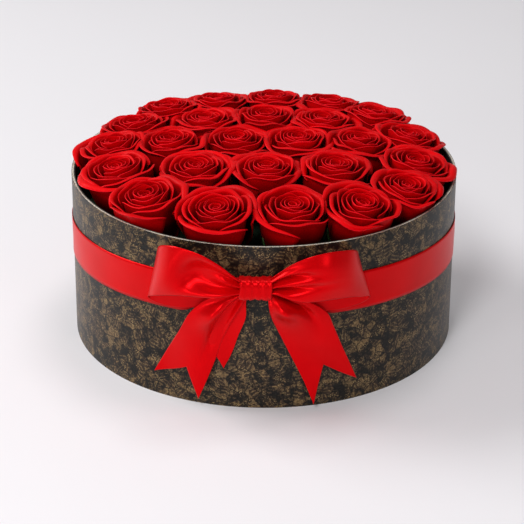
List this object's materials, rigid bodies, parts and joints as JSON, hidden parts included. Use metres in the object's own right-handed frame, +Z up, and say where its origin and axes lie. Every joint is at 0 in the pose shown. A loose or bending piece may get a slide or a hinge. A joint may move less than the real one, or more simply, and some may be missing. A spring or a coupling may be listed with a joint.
{
  "type": "flower box",
  "caption": "Round paper-covered board box with a satin ribbon bow, filled with open rose heads standing in a lift-out tray of floral foam.",
  "frame": {"origin": "centre of the box's underside, on the surface it stands on", "axes": "+Z up along the box's axis, -Y towards the front where the bow is, +X to the right seen from the front"},
  "size_m": [0.301, 0.3185, 0.1548],
  "materials": {
    "board": "matte",
    "printed_paper": "satin",
    "dark_paper": "matte",
    "satin_ribbon": "satin",
    "florist_wire": "satin",
    "liner_film": "gloss",
    "floral_foam": "matte",
    "green_stem": "satin",
    "green_sepal": "matte",
    "green_leaf": "satin",
    "rose_petal": "matte"
  },
  "bodies": {
    "box": {"base_lining": "dark_paper", "base_paper": "dark_paper", "bow_core": "satin_ribbon", "bow_knot": "satin_ribbon", "bow_loop_left": "satin_ribbon", "bow_loop_right": "satin_ribbon", "bow_tail_left": "satin_ribbon", "bow_tail_right": "satin_ribbon", "bow_tail_under": "satin_ribbon", "bow_tie_wire": "florist_wire", "box_base": "board", "box_wall": "board", "ribbon_band": "satin_ribbon", "wall_lining": "dark_paper", "wall_wrap": "printed_paper"},
    "insert": {"foam_disc": "floral_foam", "liner_tray": "liner_film", "rose_calyxes": "green_sepal", "rose_head_01": "rose_petal", "rose_head_02": "rose_petal", "rose_head_03": "rose_petal", "rose_head_04": "rose_petal", "rose_head_05": "rose_petal", "rose_head_06": "rose_petal", "rose_head_07": "rose_petal", "rose_head_08": "rose_petal", "rose_head_09": "rose_petal", "rose_head_10": "rose_petal", "rose_head_11": "rose_petal", "rose_head_12": "rose_petal", "rose_head_13": "rose_petal", "rose_head_14": "rose_petal", "rose_head_15": "rose_petal", "rose_head_16": "rose_petal", "rose_head_17": "rose_petal", "rose_head_18": "rose_petal", "rose_head_19": "rose_petal", "rose_head_20": "rose_petal", "rose_head_21": "rose_petal", "rose_head_22": "rose_petal", "rose_head_23": "rose_petal", "rose_head_24": "rose_petal", "rose_head_25": "rose_petal", "rose_leaves": "green_leaf", "rose_stems": "green_stem"}
  },
  "joints": [
    {"name": "insert_lift", "type": "slide", "parent": "box", "child": "insert", "axis": [0, 0, 1], "range_m": [0, 0.15]}
  ]
}
